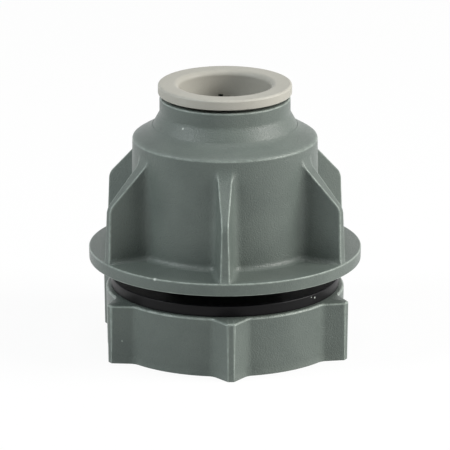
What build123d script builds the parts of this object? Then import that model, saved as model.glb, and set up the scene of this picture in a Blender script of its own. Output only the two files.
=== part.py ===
"""Push-fit tank connector for 15 mm tube, with a back nut that clamps it in a tank wall.

The origin is on the floor under the middle of the nut, +Z runs up the tube's axis and -Y is the front.
All sizes are in millimetres and all angles in degrees.
"""

import math
import os

from build123d import *

# Tube and waterway
tube_radius = 7.5
tube_play = 0.1
tube_socket_length = 8.5
waterway_radius = 6.5

# Half-inch parallel pipe thread; tail and nut are plain cylinders at its pitch diameter
thread_major_radius = 10.4775
thread_pitch = 1.814
thread_depth_share = 0.640327
thread_clearance = 0.07

# Back nut
nut_height = 9.95
nut_draft = 1.1
nut_wall = 2.1
nut_web = 1.9
nut_hub_wall = 3.3
nut_web_rib = 1.6
nut_pocket_round = 0.6
nut_mouth_chamfer = 0.4
nut_edge_chamfer = 0.45
nut_turn = 2.55
lug_count = 6
lug_reach = 2.9
lug_overhang = 0.1
lug_root_width = 5.9
lug_tip_width = 1.2
lug_root_round = 0.6
lug_tip_round = 0.5

# Sealing washer, and the gap above it for the tank wall
washer_inset = 0.85
washer_thickness = 1.85
washer_bore_play = 0.22
clamp_gap = 2.8

# Body: flange, barrel, ribs and tail
flange_margin = 0.2
flange_thickness = 2.1
flange_undercut = 0.15
flange_chamfer = 0.2
barrel_height = 18.6
barrel_draft = 0.8
barrel_foot_round = 1.0
bevel_height = 0.9
bevel_width = 1.25
shoulder_rise = 0.8
shoulder_width = 1.8
rib_count = 6
rib_reach = 7.05
rib_draft = 1.6
rib_foot_height = 9.3
rib_top_margin = 2.35
rib_root_width = 3.4
rib_tip_width = 1.6
rib_spare_length = 1.0
rib_root_round = 0.6
rib_rim_chamfer = 0.3
rib_corner_round = 1.0
tail_length = 11.6
tail_chamfer = 0.6

# Collet cap: a skirt inside the body, with the flare and neck above it
cap_socket_play = 0.05
cap_skirt_wall = 1.75
flare_height = 2.48
flare_round = 1.5
neck_wall = 1.73
neck_height = 2.58
neck_chamfer = 0.33
cone_start_depth = 2.2
cone_widening = 1.35
cone_angle = 17.0

# Seal, its groove and its spacer
seal_section = 2.6
seal_squeeze = 0.15
seal_play = 0.1
spacer_thickness = 1.4
spacer_ledge = 1.0
spacer_play = 0.1

# Collet and its teeth
collet_gap = 0.59
collet_overhang = 0.25
collet_flange_thickness = 1.7
collet_flange_chamfer = 0.35
collet_lip_chamfer = 0.25
collet_sleeve_wall = 1.35
collet_sleeve_play = 0.1
collet_pull = 1.8
collet_tip_play = 0.35
collet_tip_length = 3.0
collet_foot_gap = 2.75
finger_count = 8
slot_width = 0.7
slot_top_depth = 4.0
slot_turn = 95.5
tooth_thickness = 0.35
tooth_width = 3.2
tooth_tilt = 35.0
tooth_bite = 0.12
tooth_embed = 1.5
tooth_height = 2.0

FRONT = -90
FULL_TURN = 360

# Radii, from the tube outwards
socket_radius = tube_radius + tube_play
collet_sleeve_radius = socket_radius + collet_sleeve_wall
neck_bore_radius = collet_sleeve_radius + collet_sleeve_play
neck_radius = neck_bore_radius + neck_wall
collet_flange_radius = neck_radius + collet_overhang
cap_bore_radius = neck_bore_radius + cone_widening
collet_tip_radius = cap_bore_radius - collet_tip_play
cap_radius = cap_bore_radius + cap_skirt_wall
cap_socket_radius = cap_radius + cap_socket_play
shoulder_radius = cap_socket_radius + shoulder_width
barrel_radius = shoulder_radius + bevel_width
rib_radius = barrel_radius + rib_reach
flange_radius = rib_radius + flange_margin
seal_inner_radius = tube_radius - seal_squeeze
seal_groove_radius = seal_inner_radius + seal_section + seal_play
spacer_recess_radius = seal_groove_radius + spacer_ledge
tail_radius = thread_major_radius - thread_depth_share * thread_pitch / 2
nut_bore_radius = tail_radius + thread_clearance
nut_hub_radius = nut_bore_radius + nut_hub_wall
washer_bore_radius = thread_major_radius + washer_bore_play
nut_radius = flange_radius + lug_overhang - lug_reach
washer_radius = nut_radius - washer_inset

# Levels, from the floor up
nut_top = nut_height
washer_top = nut_top + washer_thickness
flange_bottom = washer_top + clamp_gap
tail_end = flange_bottom - tail_length
flange_top = flange_bottom + flange_thickness
rib_corner = flange_top + rib_foot_height
barrel_top = flange_top + barrel_height
rib_top = barrel_top - rib_top_margin
bevel_top = barrel_top + bevel_height
mouth_top = bevel_top + shoulder_rise
flare_top = mouth_top + flare_height
neck_top = flare_top + neck_height
collet_underside = neck_top + collet_gap
collet_top = collet_underside + collet_flange_thickness
slot_top = collet_top - slot_top_depth

# Barrel and ribs lean inwards on their way up, so that the mould comes off
barrel_foot_radius = barrel_radius + barrel_height * math.tan(math.radians(barrel_draft))
rib_corner_radius = rib_radius - rib_foot_height * math.tan(math.radians(rib_draft))

# Levels inside, from the cap's cone down; the collet's ramp lies one pull below the cone
cone_slope = math.tan(math.radians(cone_angle))
cone_start = neck_top - cone_start_depth
cone_end = cone_start - cone_widening / cone_slope
ramp_start = cone_start + collet_sleeve_play / cone_slope - collet_pull
ramp_end = ramp_start - (collet_tip_radius - collet_sleeve_radius) / cone_slope
collet_bottom = ramp_end - collet_tip_length
cap_seat = collet_bottom - collet_foot_gap
spacer_seat = cap_seat - spacer_thickness
seal_seat = spacer_seat - seal_section - seal_play
tube_stop = seal_seat - tube_socket_length


def turned(points, round_place=None, round_radius=0):
    """The solid that an outline of (radius, height) points sweeps in a full turn about the axis.

    The corner at round_place in the list of points, where one is given, gets a round of round_radius.
    """
    outline = make_face(Plane.XZ * Polyline(*points, close=True))
    if round_place is not None:
        radius, height = points[round_place]
        corner = outline.vertices().sort_by_distance(Vector(radius, 0, height))[0]
        outline = fillet(corner, round_radius)
    return revolve(outline, Axis.Z, FULL_TURN)


def around(shape, count, start):
    """Copies of a shape that points along +X, spaced evenly round the axis from the start angle."""
    return [Rot(Z=start + number * FULL_TURN / count) * shape for number in range(count)]


def distance_from_axis(point):
    """How far a point lies from the tube's axis."""
    return math.hypot(point.X, point.Y)


def tapering_arm(root_radius, tip_radius, root_width, tip_width):
    """A flat arm along +X that narrows from root_width at root_radius to tip_width at tip_radius."""
    corners = [
        (root_radius, -root_width / 2),
        (tip_radius, -tip_width / 2),
        (tip_radius, tip_width / 2),
        (root_radius, root_width / 2),
    ]
    return make_face(Polyline(*corners, close=True))


def lobed_disc(disc_radius, arm, count, start, root_round):
    """A disc with copies of an arm round it, filleted where the arms leave the disc."""
    outline = Rot(Z=start) * Circle(disc_radius)
    for copy in around(arm, count, start):
        outline += copy
    roots = [corner for corner in outline.vertices() if distance_from_axis(corner) < disc_radius + root_round]
    return fillet(roots, root_round)


def chord_depth(radius, width):
    """How far from the centre a chord of the given width lies in a circle."""
    return math.sqrt(radius**2 - width**2 / 4)


def make_rib():
    """One gusset rib along +X: a drafted arm with filleted roots, cut to its side outline and bevelled.

    The arm is drawn longer than the rib by a spare length, which the side outline cuts off.
    """
    root = chord_depth(barrel_foot_radius, rib_root_width)
    narrowing = (rib_root_width - rib_tip_width) / (rib_radius - root)
    spare_width = rib_tip_width - narrowing * rib_spare_length
    arm = tapering_arm(root, rib_radius + rib_spare_length, rib_root_width, spare_width)
    plan = lobed_disc(barrel_foot_radius, arm, 1, 0, rib_root_round)
    slope = (rib_top - rib_corner) / (rib_corner_radius - barrel_radius)
    heel_radius = barrel_radius - rib_reach / 3
    heel_top = rib_top + slope * (barrel_radius - heel_radius)
    outline = [
        (heel_radius, flange_top),
        (rib_radius, flange_top),
        (rib_corner_radius, rib_corner),
        (heel_radius, heel_top),
    ]
    side = make_face(Plane.XZ * Polyline(*outline, close=True))
    corner = side.vertices().sort_by_distance(Vector(rib_corner_radius, 0, rib_corner))[0]
    side = fillet(corner, rib_corner_round)
    block = extrude(Pos(Z=flange_top) * plan, heel_top - flange_top, taper=rib_draft)
    rib = block & extrude(side, rib_root_width / 2 + rib_root_round, both=True)

    def is_rim(edge):
        """True for a side edge of the rib's sloping top, its rounded corner or its upright tip."""
        start, middle, end = edge @ 0, edge @ 0.5, edge @ 1
        rises = abs(start.Z - end.Z) > rib_rim_chamfer / 5
        return rises and middle.X > barrel_radius and is_outermost(middle)

    def is_outermost(point):
        """True for a point on the rib's side outline, away from its flanks."""
        tip = rib_radius - (point.Z - flange_top) * math.tan(math.radians(rib_draft))
        on_tip = point.X > tip - rib_rim_chamfer / 5
        on_slope = point.Z > rib_top + slope * (barrel_radius - point.X) - rib_corner_round / 2
        return on_tip or on_slope

    return chamfer([edge for edge in rib.edges() if is_rim(edge)], rib_rim_chamfer)


def make_body():
    """Ribbed barrel on its flange, hollowed for cap, spacer, seal and tube, with the tail below."""
    shell = turned(
        [
            (0, tail_end),
            (tail_radius - tail_chamfer, tail_end),
            (tail_radius, tail_end + tail_chamfer),
            (tail_radius, flange_bottom),
            (flange_radius - flange_undercut, flange_bottom),
            (flange_radius, flange_top - flange_chamfer),
            (flange_radius - flange_chamfer, flange_top),
            (barrel_foot_radius, flange_top),
            (barrel_radius, barrel_top),
            (shoulder_radius, bevel_top),
            (cap_socket_radius, mouth_top),
            (0, mouth_top),
        ],
        round_place=7,
        round_radius=barrel_foot_round,
    )
    hollow = turned(
        [
            (0, tail_end),
            (waterway_radius, tail_end),
            (waterway_radius, tube_stop),
            (socket_radius, tube_stop),
            (socket_radius, seal_seat),
            (seal_groove_radius, seal_seat),
            (seal_groove_radius, spacer_seat),
            (spacer_recess_radius, spacer_seat),
            (spacer_recess_radius, cap_seat),
            (cap_socket_radius, cap_seat),
            (cap_socket_radius, mouth_top),
            (0, mouth_top),
        ]
    )
    return shell + around(make_rib(), rib_count, FRONT) - hollow


def make_collet_cap():
    """The cap whose skirt fills the body's mouth and whose cone squeezes the collet's fingers."""
    return turned(
        [
            (cap_bore_radius, cap_seat),
            (cap_radius, cap_seat),
            (cap_radius, mouth_top),
            (neck_radius, flare_top),
            (neck_radius, neck_top - neck_chamfer),
            (neck_radius - neck_chamfer, neck_top),
            (neck_bore_radius, neck_top),
            (neck_bore_radius, cone_start),
            (cap_bore_radius, cone_end),
        ],
        round_place=3,
        round_radius=flare_round,
    )


def make_spacer_washer():
    """The plain ring that keeps the seal in its groove, held down by the cap."""
    inner = socket_radius + spacer_play
    outer = spacer_recess_radius - spacer_play
    return turned([(inner, spacer_seat), (outer, spacer_seat), (outer, cap_seat), (inner, cap_seat)])


def make_o_ring():
    """The round-section seal that lies on the floor of its groove and grips the tube."""
    half = seal_section / 2
    return Pos(Z=seal_seat + half) * Torus(seal_inner_radius + half, half)


def make_tooth():
    """A thin steel plate set in a collet finger; its inner edge points down the bore and bites the tube."""
    tip = tube_radius - tooth_bite
    root = socket_radius + tooth_embed
    low = collet_bottom + tooth_height
    rise = (root - tip) * math.tan(math.radians(tooth_tilt))
    depth = tooth_thickness / math.cos(math.radians(tooth_tilt))
    corners = [(tip, low), (root, low + rise), (root, low + rise + depth), (tip, low + depth)]
    side = make_face(Plane.XZ * Polyline(*corners, close=True))
    return extrude(side, tooth_width / 2, both=True)


def make_collet(teeth):
    """Flanged ring with a sleeve cut into sprung fingers, thicker at their tips, around the teeth."""
    ring = turned(
        [
            (socket_radius + collet_lip_chamfer, collet_top),
            (socket_radius, collet_top - collet_lip_chamfer),
            (socket_radius, collet_bottom),
            (collet_tip_radius, collet_bottom),
            (collet_tip_radius, ramp_end),
            (collet_sleeve_radius, ramp_start),
            (collet_sleeve_radius, collet_underside),
            (collet_flange_radius, collet_underside),
            (collet_flange_radius, collet_top - collet_flange_chamfer),
            (collet_flange_radius - collet_flange_chamfer, collet_top),
        ]
    )
    length = slot_top - collet_bottom
    slot = Pos(X=collet_tip_radius, Z=slot_top - length) * Box(
        2 * collet_tip_radius, slot_width, 2 * length
    )
    return ring - around(slot, finger_count, slot_turn) - teeth


def make_sealing_washer():
    """The flat rubber ring that lies on the nut and seals against the tank wall."""
    return turned(
        [
            (washer_bore_radius, nut_top),
            (washer_radius, nut_top),
            (washer_radius, washer_top),
            (washer_bore_radius, washer_top),
        ]
    )


def make_back_nut():
    """Round nut with V-shaped grip lugs, cored from below between its wall and its threaded hub."""
    start = FRONT + nut_turn
    arm = tapering_arm(
        chord_depth(nut_radius, lug_root_width),
        nut_radius + lug_reach,
        lug_root_width,
        lug_tip_width,
    )
    outline = lobed_disc(nut_radius, arm, lug_count, start, lug_root_round)
    tips = [corner for corner in outline.vertices() if distance_from_axis(corner) > nut_radius + lug_reach / 2]
    outline = fillet(tips, lug_tip_round)
    block = extrude(Pos(Z=nut_top) * outline, -nut_height, taper=nut_draft)
    block = chamfer(block.faces().sort_by(Axis.Z)[-1].edges(), nut_edge_chamfer)
    ring = Circle(nut_radius - nut_wall) - Circle(nut_hub_radius)
    web_rib = Pos(X=nut_radius / 2) * Rectangle(nut_radius, nut_web_rib)
    pockets = ring - around(web_rib, lug_count, start)
    pockets = fillet(pockets.vertices(), nut_pocket_round)
    coring = extrude(pockets, nut_height - nut_web)
    bore = turned(
        [
            (0, 0),
            (nut_bore_radius + nut_mouth_chamfer, 0),
            (nut_bore_radius, nut_mouth_chamfer),
            (nut_bore_radius, nut_top - nut_mouth_chamfer),
            (nut_bore_radius + nut_mouth_chamfer, nut_top),
            (0, nut_top),
        ]
    )
    return block - coring - bore


def make_pieces():
    """Every piece of the connector in its place, by name."""
    finger_turn = slot_turn + FULL_TURN / finger_count / 2
    teeth = around(make_tooth(), finger_count, finger_turn)
    pieces = {
        "body": make_body(),
        "collet_cap": make_collet_cap(),
        "spacer_washer": make_spacer_washer(),
        "o_ring": make_o_ring(),
        "collet": make_collet(teeth),
        "sealing_washer": make_sealing_washer(),
        "back_nut": make_back_nut(),
    }
    for number, tooth in enumerate(teeth, start=1):
        pieces[f"tooth_{number}"] = tooth
    return pieces


if __name__ == "__main__":
    os.makedirs("parts", exist_ok=True)
    for name, piece in make_pieces().items():
        export_step(piece, f"parts/{name}.step")
        print(f"{name}: {piece.volume:.1f} mm3")
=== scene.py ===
# %% [markdown]
# # A push-fit tank connector
# The real object is a grey moulded plastic fitting. A ribbed barrel stands on a wide flange, a threaded
# tail goes down through a rubber washer into a round back nut with grip lugs, and a pale collet sits on
# top. The solids of the construction are loaded first and never moved. Each visible piece is then worked
# out again as a fine surface over its solid, so that its edges get the soft rounds of a moulding.

# %% Load the solids
import math

import bpy
import numpy as np
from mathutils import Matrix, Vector


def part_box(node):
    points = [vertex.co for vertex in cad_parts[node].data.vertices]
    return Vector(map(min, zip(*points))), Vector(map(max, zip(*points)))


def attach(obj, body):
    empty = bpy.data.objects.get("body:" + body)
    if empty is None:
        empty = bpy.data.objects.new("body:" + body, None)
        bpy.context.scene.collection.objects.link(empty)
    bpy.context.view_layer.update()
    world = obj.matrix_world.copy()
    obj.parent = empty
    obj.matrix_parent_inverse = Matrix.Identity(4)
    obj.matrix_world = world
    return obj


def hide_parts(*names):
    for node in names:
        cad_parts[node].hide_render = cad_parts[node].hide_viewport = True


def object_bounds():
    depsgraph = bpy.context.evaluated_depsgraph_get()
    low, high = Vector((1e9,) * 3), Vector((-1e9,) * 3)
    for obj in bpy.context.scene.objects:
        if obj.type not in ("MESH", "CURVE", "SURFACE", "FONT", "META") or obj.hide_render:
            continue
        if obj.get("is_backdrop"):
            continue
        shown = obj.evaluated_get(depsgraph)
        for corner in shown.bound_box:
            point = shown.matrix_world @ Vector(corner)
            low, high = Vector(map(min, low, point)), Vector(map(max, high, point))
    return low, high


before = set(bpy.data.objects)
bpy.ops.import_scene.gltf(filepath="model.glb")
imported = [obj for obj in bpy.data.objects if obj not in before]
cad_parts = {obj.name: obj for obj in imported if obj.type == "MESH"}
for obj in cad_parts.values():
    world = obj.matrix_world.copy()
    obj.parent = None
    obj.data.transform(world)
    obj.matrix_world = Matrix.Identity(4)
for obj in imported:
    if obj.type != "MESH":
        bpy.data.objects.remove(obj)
cad_low, cad_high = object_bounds()
print("solids:", sorted(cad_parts))

# %% [markdown]
# ## Working in millimetres
# The scene is in metres, but a fitting is drawn in millimetres. Every shape below is computed in
# millimetres and divided once, when its mesh is made. Heights that the solids already hold are read
# from their boxes, so the surfaces stay on them.

# %% Heights and radii read from the solids
PER_METRE = 1000.0


def reach(node):
    """The lowest height, highest height and widest radius of a solid, in millimetres."""
    low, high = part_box(node)
    return low.z * PER_METRE, high.z * PER_METRE, high.x * PER_METRE


tail_end, mouth_top, flange_radius = reach("body")
nut_bottom, nut_top, _ = reach("back_nut")
washer_bottom, washer_top, washer_radius = reach("sealing_washer")
cap_seat, neck_top, cap_radius = reach("collet_cap")
collet_bottom, collet_top, collet_flange_radius = reach("collet")
seal_seat, seal_top, seal_outer_radius = reach("o_ring")
spacer_seat, spacer_top, spacer_radius = reach("spacer_washer")
print(f"tail end {tail_end:.2f}, mouth {mouth_top:.2f}, collet top {collet_top:.2f} mm")

# %% [markdown]
# ## Camera
# The camera comes first, because every later choice is judged through it. It looks a little down on the
# fitting, and a long lens far away keeps the upright lines of the barrel nearly parallel.

# %% Camera
CAMERA_TILT = math.radians(16.7)
CAMERA_DISTANCE = 0.992
AIM = Vector((0, 0, 0.01999))
scene = bpy.context.scene
scene.view_settings.view_transform = "Standard"
camera_data = bpy.data.cameras.new("camera")
camera_data.lens = 480
camera_data.sensor_width = 36
camera_data.clip_end = 20
camera = bpy.data.objects.new("camera", camera_data)
scene.collection.objects.link(camera)
scene.camera = camera
back = Vector((0, -math.cos(CAMERA_TILT), math.sin(CAMERA_TILT)))
camera.location = AIM + back * CAMERA_DISTANCE
camera.rotation_euler = (-back).to_track_quat("-Z", "Y").to_euler()
print("camera at", [round(x, 3) for x in camera.location])

# %% [markdown]
# ## Which rays see white
# The background and the floor have to look white to the camera, in gloss and through clear things, but
# they must not flood the fitting with light. The Light Path node tells these rays from the ones that only
# carry light between surfaces, and its mask mixes a bright shader with a quiet one.

# %% Math nodes, the mask and the mix


def maths(tree, operation, first, second=None, third=None):
    """A Math node whose inputs are sockets or numbers; returns its output socket."""
    node = tree.nodes.new("ShaderNodeMath")
    node.operation = operation
    for place, value in enumerate([first, second, third]):
        if isinstance(value, (int, float)):
            node.inputs[place].default_value = value
        elif value is not None:
            tree.links.new(value, node.inputs[place])
    return node.outputs[0]


def seeing_rays(tree):
    """A mask: 1 for camera, glossy and transmission rays, 0 for all others, as the largest of three."""
    path = tree.nodes.new("ShaderNodeLightPath")
    mirrored = maths(tree, "MAXIMUM", path.outputs["Is Camera Ray"], path.outputs["Is Glossy Ray"])
    return maths(tree, "MAXIMUM", mirrored, path.outputs["Is Transmission Ray"])


def show_mix(tree, mask, quiet, bright, output_type):
    """Sends quiet * (1 - mask) + bright * mask, of two shader nodes, to a new output node."""
    mix = tree.nodes.new("ShaderNodeMixShader")
    output = tree.nodes.new(output_type)
    tree.links.new(mask, mix.inputs["Fac"])
    tree.links.new(quiet.outputs[0], mix.inputs[1])
    tree.links.new(bright.outputs[0], mix.inputs[2])
    tree.links.new(mix.outputs[0], output.inputs["Surface"])


# %% [markdown]
# ## World and lamps
# Soft even light shows a moulding best. The world gives a dim, slightly cool fill. The lamps are large
# square panels, a bright one on the right, a weaker one on the left and one overhead, so that each rib
# shades the barrel beside it and the rounded rims catch a pale line, which the finishes add to with a
# painted highlight.

# %% World
world = bpy.data.worlds.new("studio")
scene.world = world
world.use_nodes = True
tree = world.node_tree
tree.nodes.clear()
ambient = tree.nodes.new("ShaderNodeBackground")
ambient.inputs["Color"].default_value = (0.93, 0.97, 1.0, 1)
ambient.inputs["Strength"].default_value = 0.12
backdrop = tree.nodes.new("ShaderNodeBackground")
backdrop.inputs["Color"].default_value = (1, 1, 1, 1)
backdrop.inputs["Strength"].default_value = 1.0
show_mix(tree, seeing_rays(tree), ambient, backdrop, "ShaderNodeOutputWorld")
print("world:", world.name)

# %% Soft panels
PANEL_DISTANCE = 0.7


def soft_panel(name, azimuth, elevation, size, watts, colour):
    """A square area lamp that looks at the fitting's middle from an azimuth and elevation in degrees."""
    lamp = bpy.data.lights.new(name, "AREA")
    lamp.shape = "SQUARE"
    lamp.size = size
    lamp.energy = watts
    lamp.color = colour
    holder = bpy.data.objects.new(name, lamp)
    scene.collection.objects.link(holder)
    turn, lift = math.radians(azimuth), math.radians(elevation)
    away = Vector((math.sin(turn) * math.cos(lift), -math.cos(turn) * math.cos(lift), math.sin(lift)))
    holder.location = AIM + away * PANEL_DISTANCE
    holder.rotation_euler = (-away).to_track_quat("-Z", "Y").to_euler()


soft_panel("right_panel", azimuth=78, elevation=28, size=0.36, watts=7.0, colour=(1.0, 0.985, 0.95))
soft_panel("left_panel", azimuth=-70, elevation=34, size=0.22, watts=3.2, colour=(0.93, 0.98, 1.0))
soft_panel("top_panel", azimuth=10, elevation=84, size=0.22, watts=1.15, colour=(1, 1, 1))

# %% [markdown]
# ## Floor
# A pale floor carries the contact shadow. Where the camera looks at it, it is mixed towards plain white,
# so that the object stands on a white page, as catalogue pictures do, and keeps a faint shadow.

# %% Floor
FLOOR_HALF = 2.0
WHITE_SHARE = 0.93
corners = [(-FLOOR_HALF, -FLOOR_HALF, 0), (FLOOR_HALF, -FLOOR_HALF, 0)]
corners += [(FLOOR_HALF, FLOOR_HALF, 0), (-FLOOR_HALF, FLOOR_HALF, 0)]
floor_mesh = bpy.data.meshes.new("floor")
floor_mesh.from_pydata(corners, [], [(0, 1, 2, 3)])
floor = bpy.data.objects.new("floor", floor_mesh)
scene.collection.objects.link(floor)
floor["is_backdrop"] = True
floor_paint = bpy.data.materials.new("floor_paint")
floor_paint.use_nodes = True
tree = floor_paint.node_tree
tree.nodes.clear()
matte = tree.nodes.new("ShaderNodeBsdfDiffuse")
matte.inputs["Color"].default_value = (0.8, 0.8, 0.8, 1)
page = tree.nodes.new("ShaderNodeEmission")
page.inputs["Strength"].default_value = 1.0
white = maths(tree, "MULTIPLY", seeing_rays(tree), WHITE_SHARE)
show_mix(tree, white, matte, page, "ShaderNodeOutputMaterial")
floor_mesh.materials.append(floor_paint)
print("floor:", floor.name)

# %% [markdown]
# ## Shared effects
# The mouldings share their grain, their painted edge highlights and their specks. Each effect is a node
# group that is built once and placed in every finish with its own values. The groups read the object's own
# coordinates or the "edge" attribute, so the pattern stays on the piece when it moves.

# %% Helpers for node groups


def new_group(name, inputs, outputs):
    """An empty shader node group with float inputs (name, value) and outputs (name)."""
    group = bpy.data.node_groups.new(name, "ShaderNodeTree")
    for label, value in inputs:
        socket = group.interface.new_socket(name=label, in_out="INPUT", socket_type="NodeSocketFloat")
        socket.default_value = value
    for label in outputs:
        group.interface.new_socket(name=label, in_out="OUTPUT", socket_type="NodeSocketFloat")
    start = group.nodes.new("NodeGroupInput")
    end = group.nodes.new("NodeGroupOutput")
    return group, start, end


def noise(tree, place, scale, detail=2.0, roughness=0.5):
    """A Noise node on a place socket; returns its grey output socket."""
    node = tree.nodes.new("ShaderNodeTexNoise")
    node.inputs["Detail"].default_value = detail
    node.inputs["Roughness"].default_value = roughness
    tree.links.new(place, node.inputs["Vector"])
    if isinstance(scale, (int, float)):
        node.inputs["Scale"].default_value = scale
    else:
        tree.links.new(scale, node.inputs["Scale"])
    return node.outputs["Fac"]


# %% [markdown]
# ### Mould grain
# A spark-eroded mould leaves a fine, even grain of about a quarter of a millimetre on the plastic. An
# image could show it, but noise in the object's own space needs no unwrapping and has no seam. A fine and
# a coarse noise are added into a height for the bump, and two more vary the colour and the gloss.

# %% Mould grain
MOTTLES_PER_METRE, SPECKLES_PER_METRE = 170.0, 2600.0
COARSE_SCALE = 0.4


def grain_group():
    """Mould grain: height = fine noise + share * coarse noise, and a slow and a quick noise of 0 to 1."""
    group, start, end = new_group(
        "mould_grain",
        [("Grains per metre", 4200.0), ("Coarse share", 0.2)],
        ["Height", "Mottle", "Speckle"],
    )
    place = group.nodes.new("ShaderNodeTexCoord").outputs["Object"]
    fine = noise(group, place, start.outputs["Grains per metre"], 1.5, 0.5)
    coarse_scale = maths(group, "MULTIPLY", start.outputs["Grains per metre"], COARSE_SCALE)
    coarse = noise(group, place, coarse_scale, 2.0, 0.5)
    weighed = maths(group, "MULTIPLY", coarse, start.outputs["Coarse share"])
    group.links.new(maths(group, "ADD", fine, weighed), end.inputs["Height"])
    group.links.new(noise(group, place, MOTTLES_PER_METRE, 3.0, 0.55), end.inputs["Mottle"])
    group.links.new(noise(group, place, SPECKLES_PER_METRE, 1.0, 0.5), end.inputs["Speckle"])
    return group


grain = grain_group()
print("group:", grain.name, [socket.name for socket in grain.interface.items_tree])

# %% [markdown]
# ### Painted edge highlights
# The rounded rims of a moulding catch a thin pale highlight, and here it is painted into the colour. The
# Bevel node could find the edges, but every surface here knows how sharply it bends, and keeps that in its
# "edge" attribute. Noise breaks the painted line up, so that it is not even along a rim.

# %% Painted edge highlights
RAGGED_GAIN, RAGGED_SHIFT = 1.6, -0.15


def edge_highlight_group():
    """Painted edge highlight: the edge attribute * (gain * noise + shift) * strength, kept within 0 to 1.
    """
    group, start, end = new_group("painted_edge_highlight", [("Strength", 1.0), ("Breaks per metre", 900.0)], ["Mask"])
    place = group.nodes.new("ShaderNodeTexCoord").outputs["Object"]
    attribute = group.nodes.new("ShaderNodeAttribute")
    attribute.attribute_name = "edge"
    ragged = noise(group, place, start.outputs["Breaks per metre"], 3.0, 0.6)
    gain = maths(group, "MULTIPLY_ADD", ragged, RAGGED_GAIN, RAGGED_SHIFT)
    ragged_highlight = maths(group, "MULTIPLY", attribute.outputs["Fac"], gain)
    mask = group.nodes.new("ShaderNodeClamp")
    group.links.new(maths(group, "MULTIPLY", ragged_highlight, start.outputs["Strength"]), mask.inputs["Value"])
    group.links.new(mask.outputs[0], end.inputs["Mask"])
    return group


painted_edge_highlight = edge_highlight_group()
print("group:", painted_edge_highlight.name)

# %% [markdown]
# ### Specks
# A few nicks and grains of dust sit on the real piece. Each is a soft spot round a place given in
# millimetres, with a ragged outline.

# %% Specks
SPECK_BREAKS_PER_METRE = 3000.0


def spot_group():
    """A spot: with t = distance * (noise + 0.5) / radius, the mask falls smoothly from 1 at 0 to 0 at 1."""
    places = [("X mm", 0.0), ("Y mm", 0.0), ("Z mm", 0.0), ("Radius mm", 0.3)]
    group, start, end = new_group("spot", places, ["Mask"])
    place = group.nodes.new("ShaderNodeTexCoord").outputs["Object"]
    centre = group.nodes.new("ShaderNodeCombineXYZ")
    for axis in "XYZ":
        metres = maths(group, "DIVIDE", start.outputs[f"{axis} mm"], PER_METRE)
        group.links.new(metres, centre.inputs[axis])
    away = group.nodes.new("ShaderNodeVectorMath")
    away.operation = "DISTANCE"
    group.links.new(place, away.inputs[0])
    group.links.new(centre.outputs[0], away.inputs[1])
    ragged = noise(group, place, SPECK_BREAKS_PER_METRE, 2.0, 0.6)
    spread = maths(group, "MULTIPLY", away.outputs["Value"], maths(group, "ADD", ragged, 0.5))
    near = group.nodes.new("ShaderNodeMapRange")
    near.interpolation_type = "SMOOTHSTEP"
    near.inputs["From Min"].default_value = 0.0
    near.inputs["To Min"].default_value = 1.0
    near.inputs["To Max"].default_value = 0.0
    group.links.new(spread, near.inputs["Value"])
    group.links.new(maths(group, "DIVIDE", start.outputs["Radius mm"], PER_METRE), near.inputs["From Max"])
    group.links.new(near.outputs["Result"], end.inputs["Mask"])
    return group


spot = spot_group()
print("group:", spot.name)

# %% [markdown]
# ## Finishes
# Every finish mixes a base colour with its mottle and with a pale colour painted on its edges as a
# highlight, and feeds the grain into a Bump node. Numbers that hold all over a piece, such as the specular
# level, are set on the shader's own sockets. Colours are written as a screen shows them, from 0 to 255, and
# made linear once.

# %% Colours and placed groups


def linear(shown):
    """A shown colour as linear values: ((v + 0.055) / 1.055) ** 2.4, or v / 12.92 where v is very dark."""
    shares = np.array(shown) / 255.0
    values = np.where(shares > 0.04045, ((shares + 0.055) / 1.055) ** 2.4, shares / 12.92)
    return (*values.tolist(), 1.0)


def tint(tree, mask, first, second):
    """A colour mix from first to second by a mask socket; each is a socket or a linear colour."""
    node = tree.nodes.new("ShaderNodeMix")
    node.data_type = "RGBA"
    tree.links.new(mask, node.inputs["Factor"])
    for label, value in (("A", first), ("B", second)):
        socket = [s for s in node.inputs if s.name == label and s.type == "RGBA"][0]
        if isinstance(value, tuple):
            socket.default_value = value
        else:
            tree.links.new(value, socket)
    return [s for s in node.outputs if s.type == "RGBA"][0]


def place_group(tree, group, **values):
    """A node that holds a shared group, with some of its inputs set by name."""
    node = tree.nodes.new("ShaderNodeGroup")
    node.node_tree = group
    for label, value in values.items():
        node.inputs[label.replace("_", " ")].default_value = value
    return node


# %% [markdown]
# ### The moulded finish
# Plastic and rubber share one recipe, and differ only in its numbers. The mottle and the speckle blend two
# near colours, the edges get a painted pale highlight and more gloss, and each speck paints over what lies
# below it.

# %% The moulded finish
MOTTLE_GAIN, SPECKLE_GAIN, BLEND_SHIFT = 1.6, 0.5, -0.55
EDGE_GLOSS, SPECKLE_DULLNESS = -0.14, 0.12
GRAIN_DEPTH = 0.0001


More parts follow.
